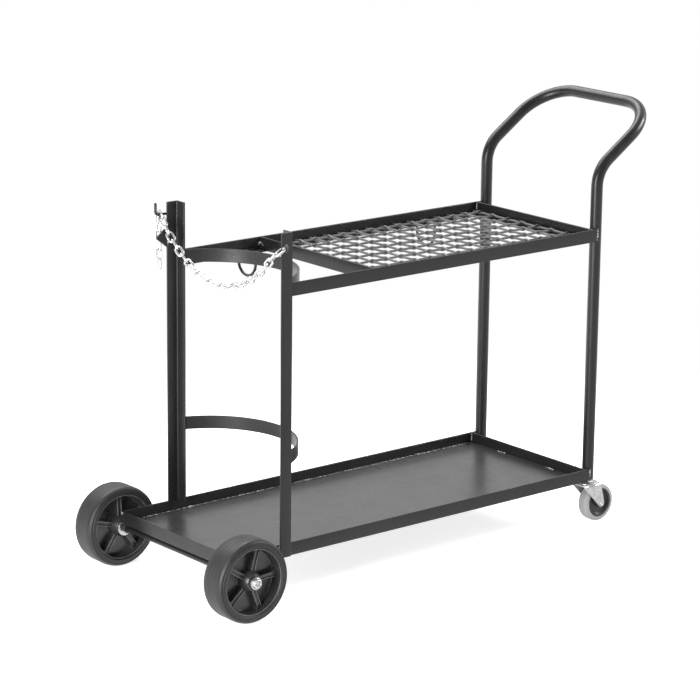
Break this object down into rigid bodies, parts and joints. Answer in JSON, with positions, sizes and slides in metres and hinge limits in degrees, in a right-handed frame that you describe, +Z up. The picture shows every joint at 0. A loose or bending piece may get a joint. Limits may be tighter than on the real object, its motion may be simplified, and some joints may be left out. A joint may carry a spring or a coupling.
{
  "type": "welding cart",
  "caption": "Angle-iron welding cart with a sheet tray, crimped-wire shelf, bent tube handle, cylinder bay with bands and a safety chain, through-axle wheels and swivel stem casters.",
  "frame": {"origin": "on the ground, under the middle of the whole cart's bounding box", "axes": "+X from the wheel end to the handle, +Y to the side with the chain hook and cable hooks, +Z up"},
  "size_m": [1.1344, 0.4816, 0.8283],
  "materials": {
    "powder_coat": "satin black powder coat",
    "tray_coat": "semi-gloss grey coat on sheet steel",
    "mesh_coat": "satin dark grey coat on crimped wire",
    "zinc": "bright zinc plate",
    "chain_zinc": "bright zinc plate",
    "wheel_plastic": "moulded black plastic",
    "wheel_rubber": "smooth black rubber",
    "caster_plastic": "moulded black plastic",
    "caster_rubber": "grey non-marking rubber"
  },
  "bodies": {
    "frame": {"tray_floor": "tray_coat", "shelf_mesh": "mesh_coat", "tray_rim_near": "powder_coat", "tray_rim_far": "powder_coat", "tray_rim_wheel_end": "powder_coat", "tray_rim_handle_end": "powder_coat", "post_near": "powder_coat", "post_far": "powder_coat", "shelf_rail_near": "powder_coat", "shelf_rail_far": "powder_coat", "shelf_rail_wheel_end": "powder_coat", "shelf_rail_handle_end": "powder_coat", "handle_tube": "powder_coat", "cylinder_band_upper": "powder_coat", "cylinder_band_lower": "powder_coat", "cable_hook_wheel_end": "powder_coat", "cable_hook_handle_end": "powder_coat", "chain_hook": "powder_coat", "post_tab": "powder_coat", "axle": "powder_coat", "axle_plate_near": "powder_coat", "axle_plate_far": "powder_coat", "chain_hook_link": "chain_zinc", "axle_washer_inner_near": "zinc", "axle_washer_outer_near": "zinc", "axle_cap_near": "zinc", "axle_washer_inner_far": "zinc", "axle_washer_outer_far": "zinc", "axle_cap_far": "zinc", "caster_stem_near": "zinc", "caster_cup_near": "zinc", "caster_ball_ring_near": "zinc", "caster_stem_far": "zinc", "caster_cup_far": "zinc", "caster_ball_ring_far": "zinc"},
    "wheel_near": {"wheel_hub_near": "wheel_plastic", "wheel_tyre_near": "wheel_rubber"},
    "caster_near": {"caster_fork_near": "zinc", "caster_bolt_near": "zinc"},
    "caster_wheel_near": {"caster_hub_near": "caster_plastic", "caster_tyre_near": "caster_rubber"},
    "wheel_far": {"wheel_hub_far": "wheel_plastic", "wheel_tyre_far": "wheel_rubber"},
    "caster_far": {"caster_fork_far": "zinc", "caster_bolt_far": "zinc"},
    "caster_wheel_far": {"caster_hub_far": "caster_plastic", "caster_tyre_far": "caster_rubber"},
    "chain_span": {"chain_span": "chain_zinc"},
    "chain_tail": {"chain_tail": "chain_zinc"}
  },
  "joints": [
    {"name": "wheel_near_roll", "type": "hinge", "parent": "frame", "child": "wheel_near", "pos_m": [-0.48909, -0.2016, 0.0775], "axis": [0, 1, 0], "continuous": true},
    {"name": "caster_near_swivel", "type": "hinge", "parent": "frame", "child": "caster_near", "pos_m": [0.39711, -0.1584, 0.0797], "axis": [0, 0, 1], "continuous": true},
    {"name": "caster_near_roll", "type": "hinge", "parent": "caster_near", "child": "caster_wheel_near", "pos_m": [0.42111, -0.1584, 0.0375], "axis": [0, 1, 0], "continuous": true},
    {"name": "wheel_far_roll", "type": "hinge", "parent": "frame", "child": "wheel_far", "pos_m": [-0.48909, 0.2016, 0.0775], "axis": [0, 1, 0], "continuous": true},
    {"name": "caster_far_swivel", "type": "hinge", "parent": "frame", "child": "caster_far", "pos_m": [0.39711, 0.1584, 0.0797], "axis": [0, 0, 1], "continuous": true},
    {"name": "caster_far_roll", "type": "hinge", "parent": "caster_far", "child": "caster_wheel_far", "pos_m": [0.42111, 0.1584, 0.0375], "axis": [0, 1, 0], "continuous": true},
    {"name": "chain_span_swing", "type": "hinge", "parent": "frame", "child": "chain_span", "pos_m": [-0.38234, -0.1715, 0.66057], "axis": [-0.0527, 0.9986, 0.0036], "range_deg": [-14, 14]},
    {"name": "chain_tail_swing", "type": "hinge", "parent": "frame", "child": "chain_tail", "pos_m": [-0.40053, 0.1804, 0.66993], "axis": [1, 0, 0], "range_deg": [0, 70]}
  ]
}
